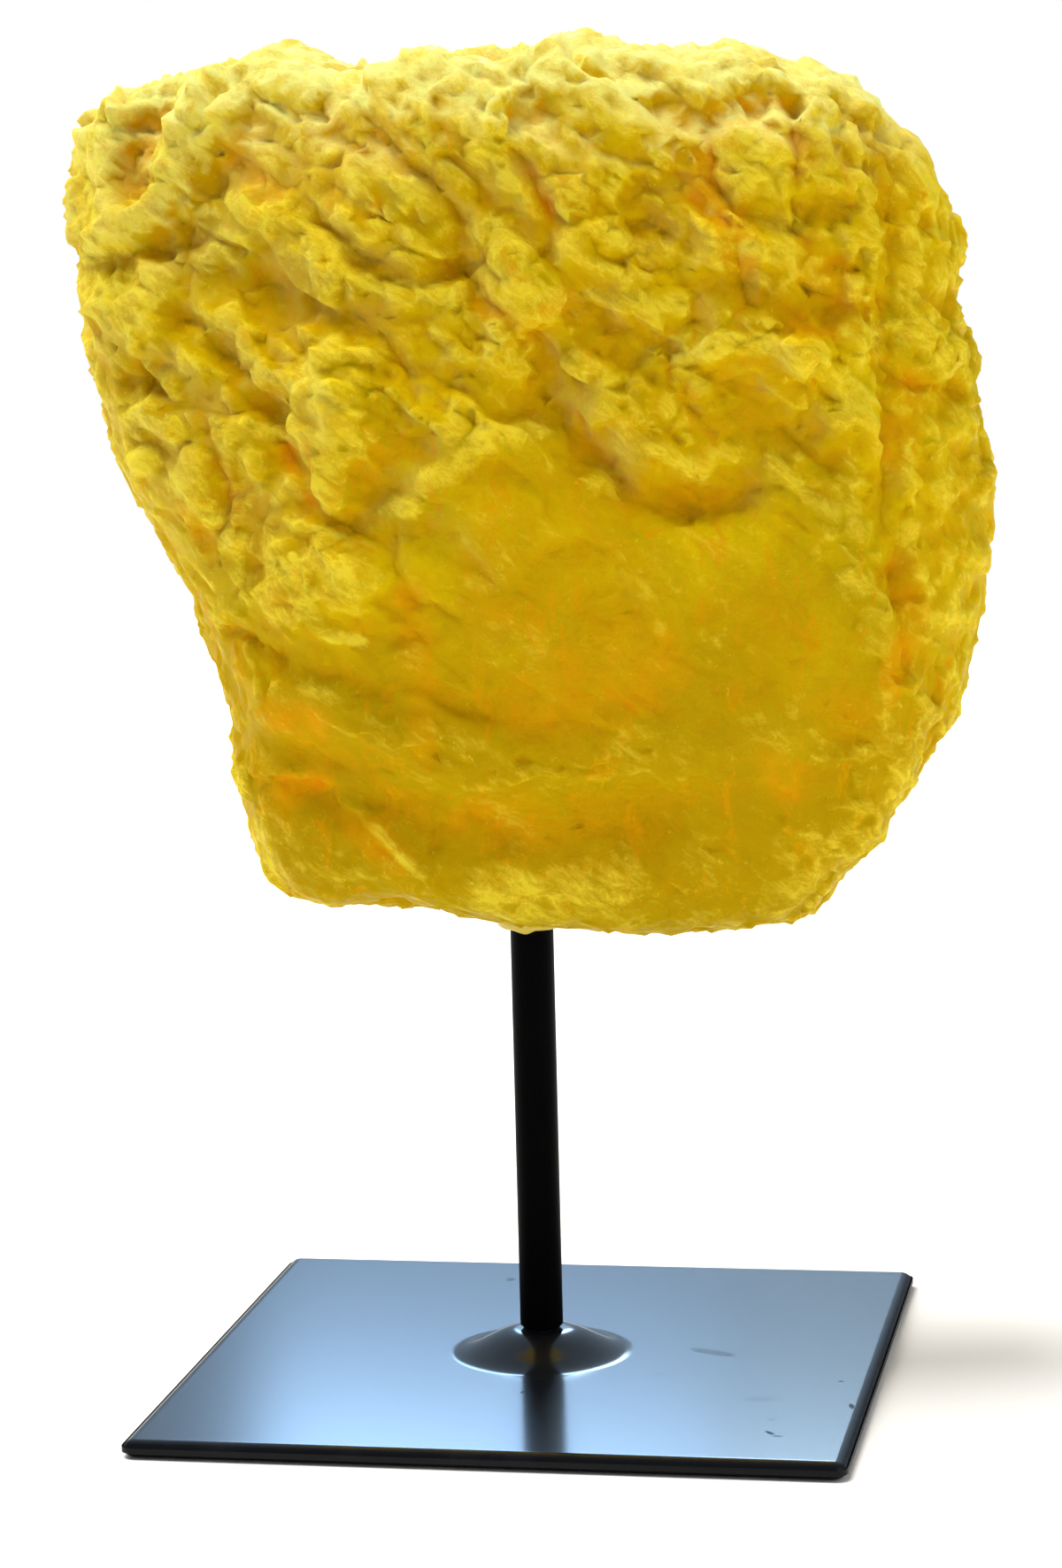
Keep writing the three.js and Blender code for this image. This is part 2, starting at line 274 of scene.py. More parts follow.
def make_plate_coat():
    material, pen, shader = new_material("black_powder_coat")
    shader["Specular IOR Level"].default_value = 0.1
    shader["Roughness"].default_value = 0.5
    shader["Coat Roughness"].default_value = 0.15
    shader["Coat IOR"].default_value = 1.6
    texture = pen.add("Group", {"Peel Scale": 900, "Peel Height": 0.25}, node_tree=coat_texture)
    pen.put(shader["Normal"], texture["Normal"])
    pen.put(shader["Base Color"], pen.blend(texture["Dust"], (0.003, 0.003, 0.004), (0.010, 0.010, 0.012)))
    scuff = make_scuff()
    marks = 0.0
    for name, x, y, half_x, half_y, turn, strength in plate_marks:
        mark = pen.add("Group", {
            "Place": (x * MM, y * MM, PLATE_THICKNESS), "Half Size": (half_x * MM, half_y * MM, 2 * MM),
            "Turn": (0, 0, math.radians(turn)), "Strength": strength}, node_tree=scuff, label=name)
        marks = pen.maths("MAXIMUM", marks, mark["Mask"])
    # the sheared edges below the arris were left thin of coating, and are dull
    height = pen.add("SeparateXYZ", {"Vector": pen.place})["Z"]
    sheen = pen.ranged(height, PLATE_THICKNESS - PLATE_ARRIS, PLATE_THICKNESS - 0.1 * PLATE_ARRIS, 0.06, 1)
    pen.put(shader["Coat Weight"], pen.maths("MULTIPLY", sheen, pen.maths("SUBTRACT", 1.0, marks)))
    return material


plate = make_plate()
finish_piece(plate, "base_plate", make_plate_coat())


# ---------------------------------------------------------------------------------------------
# Base screw. A zinc plated pan head machine screw with a hexagon socket, driven up through the
# plate into the rod. Its head sits inside the hollow under the boss, clear of the table.
# ---------------------------------------------------------------------------------------------
HEAD_RADIUS = 4 * MM
HEAD_HEIGHT = 2.6 * MM
HEX_ACROSS_CORNERS = 2.9 * MM

screw_low, screw_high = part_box("base_screw")


def make_screw():
    bottom, top = screw_low.z, screw_high.z
    seat = bottom + HEAD_HEIGHT
    rim = 0.9 * MM
    head = [(0, bottom)]
    for i in range(9):
        turn = math.pi / 2 * i / 8
        head.append((HEAD_RADIUS - rim + rim * math.sin(turn), bottom + rim * (1 - math.cos(turn))))
    head += [(HEAD_RADIUS, seat), (SCREW_RADIUS, seat)]
    pitch = 0.7 * MM
    crest = seat + pitch
    while crest < top - pitch:
        head += [(SCREW_RADIUS, crest), (SCREW_RADIUS - 0.3 * MM, crest + pitch / 2)]
        crest += pitch
    head += [(SCREW_RADIUS - 0.6 * MM, top), (0, top)]
    screw = turned("pan_head_screw", head, 64)
    select_none()
    bpy.ops.mesh.primitive_cylinder_add(
        vertices=6, radius=HEX_ACROSS_CORNERS / 2, depth=3 * MM, location=(0, 0, bottom))
    key = bpy.context.object
    bpy.ops.object.transform_apply(location=True, rotation=True, scale=True)
    cut(screw, key)
    smooth_by_angle(screw, 30)
    return screw


def make_zinc():
    material, pen, shader = new_material("zinc_steel")
    shader["Metallic"].default_value = 1.0
    cloud = pen.noise(700, 3)
    pen.put(shader["Base Color"], pen.blend(cloud, (0.46, 0.47, 0.49), (0.64, 0.65, 0.66)))
    pen.put(shader["Roughness"], pen.ranged(cloud, 0, 1, 0.24, 0.42))
    return material


finish_piece(make_screw(), "base_screw", make_zinc())


# ---------------------------------------------------------------------------------------------
# Support rod. A length of 5/16 in round steel bar in a dense satin black, chamfered at both
# ends and tapped at the bottom for the screw. It stands on the boss and enters the stone.
# ---------------------------------------------------------------------------------------------
ROD_CHAMFER = 0.5 * MM
TAP_RADIUS = 2.1 * MM
TAP_DEPTH = 14 * MM

rod_low, rod_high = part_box("support_rod")
rod_radius = (rod_high.x - rod_low.x) / 2


def make_rod():
    bottom, top = rod_low.z, rod_high.z
    tap = bottom + TAP_DEPTH
    rod = turned("round_bar", [
        (0, tap + TAP_RADIUS / 2), (TAP_RADIUS, tap), (TAP_RADIUS, bottom + ROD_CHAMFER / 2),
        (TAP_RADIUS + ROD_CHAMFER / 2, bottom), (rod_radius - ROD_CHAMFER, bottom),
        (rod_radius, bottom + ROD_CHAMFER), (rod_radius, top - ROD_CHAMFER),
        (rod_radius - ROD_CHAMFER, top), (0, top)], 96)
    smooth_by_angle(rod, 30)
    return rod


def make_rod_coat():
    material, pen, shader = new_material("black_rod_coat")
    shader["Specular IOR Level"].default_value = 0.02
    texture = pen.add("Group", {"Peel Scale": 1400, "Peel Height": 0.5}, node_tree=coat_texture)
    pen.put(shader["Base Color"], pen.blend(texture["Dust"], (0.0008, 0.0008, 0.001), (0.003, 0.003, 0.003)))
    pen.put(shader["Roughness"], pen.ranged(texture["Dust"], 0, 1, 0.42, 0.6))
    pen.put(shader["Normal"], texture["Normal"])
    return material


finish_piece(make_rod(), "support_rod", make_rod_coat())


# ---------------------------------------------------------------------------------------------
# Sulfur block. One rough mass of native sulfur, broken from a vein and drilled once from below
# for the rod: waxy, slightly translucent lemon to amber yellow, with frosted ridges. The block
# is the drilled solid remeshed finely and carved along listed strokes, because no run of
# extrudes and bevels gives a broken mineral its crust.
# ---------------------------------------------------------------------------------------------
STONE_TURN = math.radians(10.6)      # how far the stone is turned on the rod
STONE_UNDERSIDE = 83.2               # mm above the table, at the rod
STONE_VOXEL = 0.68 * MM
STONE_TRIANGLES = 190000

# The carving's own axes, in mm: u across the front, v into the depth, w up from the underside.
# A stroke is a profile, its half width and height, and the line that it follows over (u, w).
carving = [
    # fin and pocket at the upper left corner
    ("ridge", 7, 4.6, [(-52, 153), (-57, 147), (-60, 141), (-63, 135), (-67, 131), (-73, 127)]),
    ("ridge", 3, 1.6, [(-48, 149), (-53, 143), (-58, 138), (-63, 132)]),
    ("groove", 6, -3.2, [(-45, 147), (-50, 140), (-56, 132), (-63, 126)]),
    ("hollow", 7, -4.4, [(-62, 149), (-65, 143), (-67, 138)]),
    ("ridge", 4, 2.4, [(-69, 150), (-73, 141), (-72, 131)]),
    ("ridge", 3, 1.6, [(-66, 153), (-58, 154), (-46, 156)]),
    # the valley under the fin, and the blocks and knobs down the left edge
    ("groove", 5, -4.0, [(-78, 124), (-70, 123), (-63, 125), (-57, 126)]),
    ("dome", 6.5, 4.0, [(-72, 116), (-66, 113)]),
    ("ridge", 2.6, 1.6, [(-73, 119), (-67, 119), (-62, 117)]),
    ("hollow", 6, -3.2, [(-70, 104), (-65, 104)]),
    ("groove", 1.6, -1.2, [(-70, 107), (-63, 106), (-60, 102)]),
    ("dome", 4.5, 3.2, [(-66, 97)]),
    ("dome", 4, 2.6, [(-62, 93)]),
    ("groove", 2, -2.0, [(-68, 91), (-62, 90), (-58, 91)]),
    ("dome", 4.2, 3.8, [(-67, 87)]),
    ("dome", 6, 2.0, [(-58, 87), (-56, 80)]),
    ("groove", 1.8, -2.0, [(-56, 93), (-53, 87), (-51, 80), (-53, 76)]),
    ("hollow", 3.5, -1.6, [(-56, 76), (-54, 71)]),
    # the left facet and the diagonal valley that bounds it
    ("ridge", 4.5, 1.8, [(-54, 123), (-46, 127), (-37, 133)]),
    ("groove", 3.5, -2.0, [(-58, 124), (-57, 114)]),
    ("groove", 3.4, -2.8, [(-59, 113), (-51, 107), (-45, 101), (-42, 95)]),
    ("dome", 2.8, 1.6, [(-46, 110)]),
    ("dome", 3.2, 1.8, [(-44, 103)]),
    ("dome", 3.2, 1.4, [(-41, 108), (-37, 110)]),
    ("hollow", 5, -1.4, [(-43, 118), (-38, 115)]),
    ("hollow", 3.4, -2.0, [(-42, 99), (-40, 95)]),
    # the smooth lump in the upper middle, and the fibrous shelf under it
    ("dome", 11, 2.2, [(-26, 131), (-18, 125)]),
    ("ridge", 3, 0.8, [(-32, 136), (-26, 137), (-18, 134)]),
    ("groove", 3.4, -1.4, [(-33, 130), (-28, 123), (-21, 119), (-13, 119), (-9, 121)]),
    ("ridge", 3.4, 2.2, [(-38, 124), (-31, 119), (-24, 117), (-16, 116), (-8, 117)]),
    ("groove", 2.2, -1.6, [(-30, 113), (-24, 110), (-19, 104), (-18, 98)]),
    ("hollow", 4.5, -1.8, [(-46, 146), (-41, 144)]),
    ("hollow", 4.5, -1.8, [(-33, 145), (-24, 143)]),
    ("ridge", 1.4, 1.3, [(-14, 150), (-15, 141)]),
    # oval lump at the left of the middle
    ("dome", 7.5, 3.2, [(-32, 101), (-30, 96)]),
    ("ridge", 2.4, 1.8, [(-38, 99), (-36, 104), (-32, 107), (-26, 106)]),
    ("ridge", 3, 1.4, [(-25, 99), (-19, 96), (-14, 92)]),
    ("hollow", 4.5, -2.8, [(-27, 85), (-22, 83)]),
    ("dome", 2.4, 2.0, [(-21, 80), (-18, 80)]),
    # blisters and webs at the left
    ("ridge", 1.3, 1.4, [(-50, 84), (-51, 90), (-49, 94), (-46, 96), (-43, 93), (-41, 90)]),
    ("ridge", 1.3, 1.2, [(-50, 80), (-46, 83), (-42, 82), (-39, 85)]),
    ("groove", 1.5, -2.6, [(-41, 91), (-38, 85), (-35, 80)]),
    ("ridge", 1.2, 1.2, [(-55, 78), (-51, 79), (-47, 76), (-46, 71)]),
    ("ridge", 1.2, 1.2, [(-50, 74), (-49, 68), (-52, 64)]),
    ("ridge", 1.2, 1.2, [(-46, 76), (-43, 78), (-39, 76), (-36, 78), (-31, 76)]),
    ("ridge", 1.2, 1.2, [(-38, 76), (-38, 70), (-37, 66)]),
    ("ridge", 1.2, 1.0, [(-45, 68), (-41, 67), (-38, 67)]),
    ("ridge", 1.2, 1.2, [(-44, 65), (-44, 60), (-41, 57)]),
    ("dome", 4.2, 2.2, [(-46, 88)]),
    ("dome", 3.2, 1.6, [(-51, 74)]),
    ("dome", 3.2, 1.8, [(-42, 72)]),
    ("dome", 2.8, 1.6, [(-35, 73)]),
    ("dome", 4.2, 1.6, [(-47, 63)]),
    ("dome", 3.2, 2.0, [(-41, 61)]),
    ("dome", 9, 3.4, [(-31, 66)]),
    ("ridge", 1.6, 1.2, [(-37, 69), (-37, 62), (-34, 58), (-29, 57)]),
    ("dome", 4.6, 2.6, [(-34, 83), (-31, 82)]),
    ("hollow", 3.2, -2.6, [(-32, 78), (-29, 78)]),
    ("groove", 3, -1.8, [(-51, 58), (-45, 54), (-40, 50)]),
    # the long diagonal valley, the fin over it and the tongue that hangs in it
    ("groove", 3.2, -2.2, [(-19, 141), (-13, 133), (-9, 128), (-6, 122)]),
    ("ridge", 3.4, 3.4, [(1, 151), (-3, 146), (-6, 141)]),
    ("hollow", 5, -2.4, [(3, 146), (7, 143)]),
    ("groove", 2.8, -2.8, [(1, 140), (4, 134), (7, 129)]),
    ("dome", 6, 1.8, [(-5, 127), (1, 124)]),
    ("dome", 10, 1.8, [(-3, 122), (2, 114)]),
    ("groove", 3, -2.2, [(-10, 121), (-6, 116), (-1, 111), (4, 108)]),
    ("groove", 3, -1.2, [(5, 109), (9, 113), (10, 119)]),
    ("dome", 3.6, 1.8, [(-9, 111), (-3, 108)]),
    ("ridge", 2.8, 1.6, [(-9, 105), (0, 104), (6, 100)]),
    ("ridge", 2.6, 1.4, [(-19, 108), (-12, 104), (-7, 100)]),
    ("hollow", 2.6, -2.2, [(-9, 96)]),
    # upper middle: rows of lumps falling to the lower right
    ("ridge", 3, 1.8, [(8, 144), (14, 138), (19, 134)]),
    ("ridge", 2.8, 1.6, [(15, 147), (22, 141), (27, 138)]),
    ("ridge", 2.8, 2.0, [(11, 134), (19, 128), (26, 123)]),
    ("ridge", 2.6, 1.8, [(7, 131), (13, 127), (18, 124)]),
    ("groove", 2.4, -1.8, [(8, 138), (14, 132), (21, 127)]),
    ("ridge", 2.6, 1.2, [(9, 123), (17, 119), (24, 119), (32, 120)]),
    ("groove", 2.2, -0.8, [(11, 121), (16, 117), (24, 115)]),
    ("ridge", 2.4, 1.0, [(13, 116), (20, 113), (29, 108)]),
    ("groove", 2.2, -1.0, [(22, 134), (28, 129), (32, 124)]),
    ("ridge", 2.2, 1.4, [(22, 132), (29, 127)]),
    ("groove", 2.4, -1.0, [(10, 111), (20, 109), (30, 105)]),
    # amber pockets, blocks and the fluted column at the upper right
    ("hollow", 5, -2.5, [(34, 144), (40, 146), (46, 147)]),
    ("ridge", 3, 2.4, [(38, 152), (46, 150)]),
    ("dome", 7.5, 3.2, [(39, 137), (45, 135)]),
    ("ridge", 2.6, 1.4, [(36, 141), (45, 142)]),
    ("dome", 5.6, 3.0, [(43, 123), (46, 122)]),
    ("groove", 1.6, -2.0, [(49, 147), (48, 138), (48, 126)]),
    ("dome", 3.8, 3.2, [(52, 145), (54, 138)]),
    ("groove", 1.8, -1.6, [(56, 143), (55, 137)]),
    ("dome", 3.8, 2.0, [(54, 123), (58, 124)]),
    ("dome", 3.4, 1.6, [(53, 116), (58, 116)]),
    ("groove", 2.8, -2.2, [(34, 138), (36, 129), (38, 122), (39, 113)]),
    ("hollow", 4, -1.8, [(50, 130), (56, 130)]),
    # scalloped shelf, the bowl under it and the pale rib at its right
    ("ridge", 3.4, 3.0, [(28, 104), (35, 106), (42, 105), (49, 104)]),
    ("ridge", 3.4, 2.4, [(47, 105), (54, 101), (59, 95), (62, 88)]),
    ("hollow", 10, -2.8, [(37, 98), (46, 95)]),
    ("ridge", 2.8, 2.0, [(10, 104), (18, 102), (24, 98), (29, 92)]),
    ("dome", 8.5, 2.6, [(16, 97), (23, 90), (31, 86)]),
    ("ridge", 1.6, 1.2, [(22, 90), (26, 87), (31, 84)]),
    ("groove", 3.2, -2.6, [(5, 100), (9, 94), (13, 88), (18, 83)]),
    ("groove", 2.6, -1.3, [(21, 80), (29, 78)]),
    ("groove", 2.4, -1.3, [(29, 77), (35, 79), (43, 82)]),
    ("dome", 3, 2.0, [(12, 83), (15, 82)]),
    ("ridge", 2, 1.8, [(43, 86), (48, 81), (53, 76)]),
    # the great smooth face and its crest
    ("ridge", 3.6, 2.0, [(-15, 85), (-10, 89), (-4, 92), (1, 93), (6, 91)]),
    ("dome", 26, 1.8, [(-2, 72), (6, 66)]),
    ("groove", 2.6, -1.2, [(-21, 78), (-22, 71), (-19, 64), (-12, 61)]),
    # flank at the right: an upright valley, then lobes that turn away
    ("groove", 4.5, -3.0, [(64, 146), (65, 130), (64, 110), (64, 92), (63, 76), (66, 60), (67, 50)]),
    ("ridge", 2, 1.2, [(66, 96), (68, 84), (67, 74), (69, 62)]),
    ("dome", 4.6, 2.6, [(73, 102), (80, 105)]),
    ("hollow", 3.4, -2.2, [(75, 97), (81, 97)]),
    ("dome", 5, 2.0, [(74, 90), (81, 91)]),
    ("dome", 5, 2.0, [(74, 80), (82, 80)]),
    ("dome", 5, 1.6, [(74, 68), (80, 67)]),
    ("dome", 5, 1.6, [(70, 124), (74, 118)]),
    ("ridge", 2.6, 1.2, [(57, 66), (64, 70)]),
    ("dome", 3.2, 1.4, [(52, 34), (58, 35)]),
    ("dome", 4, 1.4, [(62, 47), (68, 46)]),
    ("dome", 4, 1.4, [(61, 20)]),
    # the low ledge across the foot and the fractures under it
    ("step", 8, 1.8, [(-37, 44), (-32, 40), (-24, 39), (-17, 39), (-12, 36), (-8, 34)]),
    ("groove", 1.8, -1.2, [(-2, 35), (6, 35), (13, 34)]),
    ("ridge", 1.6, 0.8, [(-6, 32), (3, 33)]),
    ("step", 5, 1.2, [(-48, 31), (-41, 32), (-33, 31)]),
    ("step", 6, 1.4, [(-32, 27), (-26, 21), (-20, 15)]),
    ("hollow", 6, -1.0, [(-9, 26), (-5, 21)]),
    ("groove", 0.9, -0.7, [(-17, 26), (-18, 14)]),
    ("ridge", 3, 0.8, [(14, 32), (24, 31)]),
]

# Tints laid on the front: a line, its half width in mm, and how strong the tint is.
amber_tint = [
    ([(-65, 146), (-66, 139)], 6, 0.55),
    ([(-46, 141), (-44, 134)], 6, 0.5),
    ([(-30, 143), (-22, 142)], 7, 0.45),
    ([(37, 145), (44, 144)], 5.5, 1.0),
    ([(34, 141), (33, 132), (37, 126), (39, 121)], 3.6, 0.9),
    ([(49, 142), (49, 136)], 3, 0.9),
    ([(50, 121), (54, 119)], 5, 0.6),
    ([(56, 116), (60, 113)], 4, 0.6),
    ([(48, 110), (56, 108)], 3, 0.6),
    ([(3, 137), (6, 129)], 2, 0.8),
    ([(-6, 114), (2, 109), (8, 115)], 2.2, 0.8),
    ([(-41, 90), (-36, 81)], 1.8, 1.0),
    ([(-52, 88), (-50, 80)], 1.8, 0.7),
    ([(-60, 79), (-56, 73)], 2.4, 0.5),
    ([(-44, 65), (-41, 63)], 2.5, 0.6),
    ([(-19, 66), (-18, 50), (-18, 36)], 3, 0.6),
    ([(-6, 62), (-3, 61)], 2.4, 0.7),
    ([(-44, 43), (-37, 42)], 4, 1.0),
    ([(-43, 29), (-37, 30.5)], 3.0, 1.35),
    ([(-29, 22), (-24, 17)], 4, 0.9),
    ([(-10, 24), (-2, 26)], 5, 0.5),
    ([(68, 98), (66, 88)], 4, 0.7),
    ([(66, 66), (68, 58), (64, 48)], 3.4, 0.8),
    ([(5, 46), (18, 52)], 10, 0.5),
    ([(24, 56), (26, 50)], 3, 0.7),
    ([(15, 47), (19, 45)], 3, 0.7),
    ([(43, 33), (46, 28)], 4, 0.6),
    ([(58, 42), (54, 44)], 4, 0.5),
    ([(10, 95), (17, 84)], 2, 0.5),
    ([(26, 80), (36, 80)], 2, 0.5),
]
# frost, and painted highlights on the ridges and crests that face the light
frost_and_highlight_tint = [
    ([(-51, 150), (-57, 143), (-61, 136), (-70, 127)], 3.4, 1.0),
    ([(-72, 148), (-76, 140), (-75, 126)], 4, 0.9),
    ([(-60, 156), (-40, 156), (-20, 156)], 5, 0.6),
    ([(-74, 118), (-64, 119)], 3.4, 0.9),
    ([(-67, 97), (-62, 92)], 3, 0.8),
    ([(-68, 88)], 3.6, 1.2),
    ([(-49, 132), (-38, 129), (-29, 123), (-20, 117), (-10, 116)], 2.6, 0.6),
    ([(-40, 98), (-38, 104), (-31, 108)], 2, 0.9),
    ([(-50, 90), (-47, 94), (-42, 92), (-39, 95)], 1.5, 0.9),
    ([(-50, 77), (-48, 80), (-44, 80), (-39, 83), (-35, 86)], 1.3, 0.9),
    ([(-54, 77), (-50, 75), (-49, 68), (-45, 66)], 1.2, 0.9),
    ([(-44, 76), (-44, 70), (-39, 69), (-37, 64)], 1.3, 0.9),
    ([(-40, 78), (-34, 76), (-30, 75)], 1.4, 1.0),
    ([(-37, 71), (-32, 70)], 3, 0.7),
    ([(-38, 63), (-35, 59), (-29, 57)], 1.5, 1.0),
    ([(-43, 63), (-44, 59)], 1.2, 0.8),
    ([(-50, 67), (-44, 67)], 1.4, 0.8),
    ([(-37, 84), (-32, 85)], 3, 0.6),
    ([(-24, 79), (-19, 80)], 1.8, 1.0),
    ([(-15, 149), (-15, 139)], 1.3, 0.9),
    ([(0, 150), (-4, 145), (-6, 139)], 2, 1.1),
    ([(-5, 127), (0, 125)], 4, 0.5),
    ([(16, 126), (23, 121)], 2.4, 0.6),
    ([(10, 116), (27, 113)], 2, 0.5),
    ([(38, 139), (45, 138)], 4, 0.5),
    ([(52, 146), (55, 143)], 2.4, 0.8),
    ([(42, 125), (46, 125)], 4, 0.4),
    ([(28, 104), (36, 107), (43, 106)], 2, 0.6),
    ([(46, 104), (54, 101), (60, 95)], 2.4, 0.6),
    ([(62, 108), (62, 103)], 1.2, 0.9),
    ([(57, 85), (57, 81)], 0.9, 0.8),
    ([(-14, 85), (-6, 91), (3, 93)], 2.6, 0.7),
    ([(13, 85), (16, 82)], 2, 0.6),
    ([(43, 87), (48, 82), (54, 77)], 1.5, 0.7),
    ([(22, 89), (32, 83)], 1.2, 0.6),
    ([(-9, 65), (-6, 67)], 3, 0.4),
    ([(34, 64), (34, 54)], 1.2, 0.4),
    ([(35, 47)], 1.6, 0.5),
    ([(-40, 50), (-33, 47)], 1.6, 0.6),
    ([(-27, 22), (-24, 19), (-20, 14)], 0.9, 1.0),
    ([(-6, 10), (14, 11)], 6, 0.6),
    ([(-8, 28), (-2, 22)], 4, 0.35),
    ([(-53, 30), (-46, 10)], 3, 0.6),
    ([(17, 18), (18, 12)], 2, 0.4),
    ([(50, 20)], 1.4, 0.6),
    ([(52, 35), (58, 35)], 3, 0.3),
    ([(55, 66), (58, 64)], 2, 0.5),
    ([(-38, 16), (-30, 12)], 2, 0.4),
]


def smooth_step(low, high, value):
    share = np.clip((value - low) / (high - low), 0, 1)
    return share * share * (3 - 2 * share)


def drawn(table, cell):
    """The row of a table of 256 that stands for each cell."""
    x, y, z = (cell % 256).T
    return table[(table[(table[x] + y) % 256] + z) % 256]


def lattice_noise(points, seed):
    """Smooth noise, about -1 to 1, at each row of points; its waves are one unit long."""
    draw = np.random.RandomState(seed)
    table = draw.permutation(256)
    slopes = draw.normal(size=(256, 3))
    slopes /= np.linalg.norm(slopes, axis=1)[:, None]
    cell = np.floor(points).astype(int)
    inside = points - cell
    ease = inside ** 3 * (inside * (inside * 6 - 15) + 10)
    total = np.zeros(len(points))
    for corner in itertools.product((0, 1), repeat=3):
        pick = drawn(table, cell + corner)
        share = np.prod(np.where(corner, ease, 1 - ease), axis=1)
        total += share * np.einsum("ij,ij->i", slopes[pick], inside - corner)
    return 1.5 * total


def crust_noise(points, size, octaves, seed, ridged=False):
    """Fractal noise whose largest waves are size mm long. Ridged noise has sharp crests."""
    total = np.zeros(len(points))
    reach = 0
    for octave in range(octaves):
        layer = lattice_noise(points * 2 ** octave / size, seed + octave)
        if ridged:
            layer = 1 - 2.4 * np.abs(layer)
        total += layer / 2 ** octave
        reach += 1 / 2 ** octave
    return total / reach


def near_cells(points, table, jitter, crispness):
    """Goes round the 27 cells of a jittered grid, one unit wide, that are nearest each point. Gives
    each cell's row in the tables, its middle and its share, which falls off with distance."""
    cell = np.floor(points).astype(int)
    for offset in itertools.product((-1, 0, 1), repeat=3):
        at = cell + offset
        pick = drawn(table, at)
        middle = at + jitter[pick]
        yield pick, middle, np.exp(-crispness * np.sum((points - middle) ** 2, axis=1))


def chipped(points, seed, crispness):
    """Broken facets, about -1 to 1: each cell is a plane with a tilt and a level of its own, and
    crispness is how sharply one gives way to the next."""
    draw = np.random.RandomState(seed)
    table, jitter = draw.permutation(256), draw.uniform(size=(256, 3))
    level = draw.uniform(-0.5, 0.5, size=256)
    tilt = draw.normal(scale=2.2, size=(256, 3))
    total = np.zeros(len(points))
    weights = np.full(len(points), 1e-12)
    for pick, middle, share in near_cells(points, table, jitter, crispness):
        total += share * (level[pick] + np.einsum("ij,ij->i", tilt[pick], points - middle))
        weights += share
    return total / weights


def cell_middles(points, size, seed, crispness):
    """The middle of the cell, size mm wide, that each point is in, eased across the borders."""
    draw = np.random.RandomState(seed)
    table, jitter = draw.permutation(256), draw.uniform(size=(256, 3))
    total = np.zeros_like(points)
    weights = np.full(len(points), 1e-12)
    for _, middle, share in near_cells(points / size, table, jitter, crispness):
        total += share[:, None] * middle
        weights += share
    return size * total / weights[:, None]


def distance_to_line(u, w, line):
    """Distance from each (u, w) to the line, and which side of it the point is on."""
    if len(line) == 1:
        return np.hypot(u - line[0][0], w - line[0][1]), np.ones_like(u)
    nearest = np.full_like(u, 1e9)
    side = np.ones_like(u)
    for (au, aw), (bu, bw) in zip(line, line[1:]):
        du, dw = bu - au, bw - aw
        share = np.clip(((u - au) * du + (w - aw) * dw) / (du * du + dw * dw), 0, 1)
        distance = np.hypot(u - au - share * du, w - aw - share * dw)
        closer = distance < nearest
        side = np.where(closer, np.sign((w - aw) * du - (u - au) * dw), side)
        nearest = np.where(closer, distance, nearest)
    return nearest, side


def stroke_height(profile, half_width, height, line, u, w, rag):
    """How far one stroke lifts or sinks the surface. Rag frays its edge."""
    distance, side = distance_to_line(u, w, line)
    share = np.clip(1 - (distance + 0.3 * half_width * rag) / half_width, 0, 1)
    if profile in ("ridge", "groove"):
        return height * share ** 1.3
    if profile in ("dome", "hollow"):
        return height * smooth_step(0, 1, share)
    # a step stands proud just above its line and fades over its half width
    above = smooth_step(-0.6, 0.8, side * distance)
    return height * (above * share ** 0.8 - 0.35 * (1 - above) * share)


def tint_mask(tints, u, w):
    mask = np.zeros_like(u)
    for line, half_width, strength in tints:
        distance, _ = distance_to_line(u, w, line)
        mask = np.maximum(mask, strength * smooth_step(1.25, 0.35, distance / half_width))
    return mask


def stone_axes(points):
    """Row frame metres to the carving's axes in mm."""
    x, y, z = (points / MM).T
    cos, sin = math.cos(STONE_TURN), math.sin(STONE_TURN)
    return np.stack([cos * x + sin * y, cos * y - sin * x, z - STONE_UNDERSIDE], axis=1)


def read_vectors(items, name, count):
    values = np.zeros(count * 3, np.float32)
    items.foreach_get(name, values)
    return values.reshape(-1, 3).astype(float)


def neighbour_mean(values, edges, counts):
    total = np.zeros_like(values)
    for a, b in ((0, 1), (1, 0)):
        for axis in range(values.shape[1]):
            total[:, axis] += np.bincount(edges[:, a], values[edges[:, b], axis], len(values))
    return total / counts[:, None]


def make_block():
    select_none()
    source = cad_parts["sulfur_mass"]
    block = source.copy()
    block.data = source.data.copy()
    block.name = "sulfur_block"
    bpy.context.collection.objects.link(block)
    for key in list(block.keys()):
        del block[key]
    make_active(block)
    bpy.ops.object.mode_set(mode="EDIT")
    bpy.ops.mesh.select_all(action="SELECT")
    bpy.ops.mesh.remove_doubles(threshold=1e-6)
    bpy.ops.object.mode_set(mode="OBJECT")
    apply_modifier(block, "REMESH", mode="VOXEL", voxel_size=STONE_VOXEL)
    apply_modifier(block, "SMOOTH", factor=0.5, iterations=10)
    return block


def read_mesh(mesh):
    """Vertex places and normals in metres, the edges, and how many edges meet at each vertex."""
    count = len(mesh.vertices)
    edges = np.zeros(len(mesh.edges) * 2, np.int32)
    mesh.edges.foreach_get("vertices", edges)
    return (read_vectors(mesh.vertices, "co", count), read_vectors(mesh.vertex_normals, "vector", count),
            edges.reshape(-1, 2), np.bincount(edges, minlength=count))


def smooth_area(u, w):
    """1 where the front broke smooth, 0 where it is crusted."""
    distance, _ = distance_to_line(u, w, [(-2, 70), (28, 60), (44, 46), (26, 20), (-28, 26), (-34, 38)])
    return smooth_step(32, 14, distance)


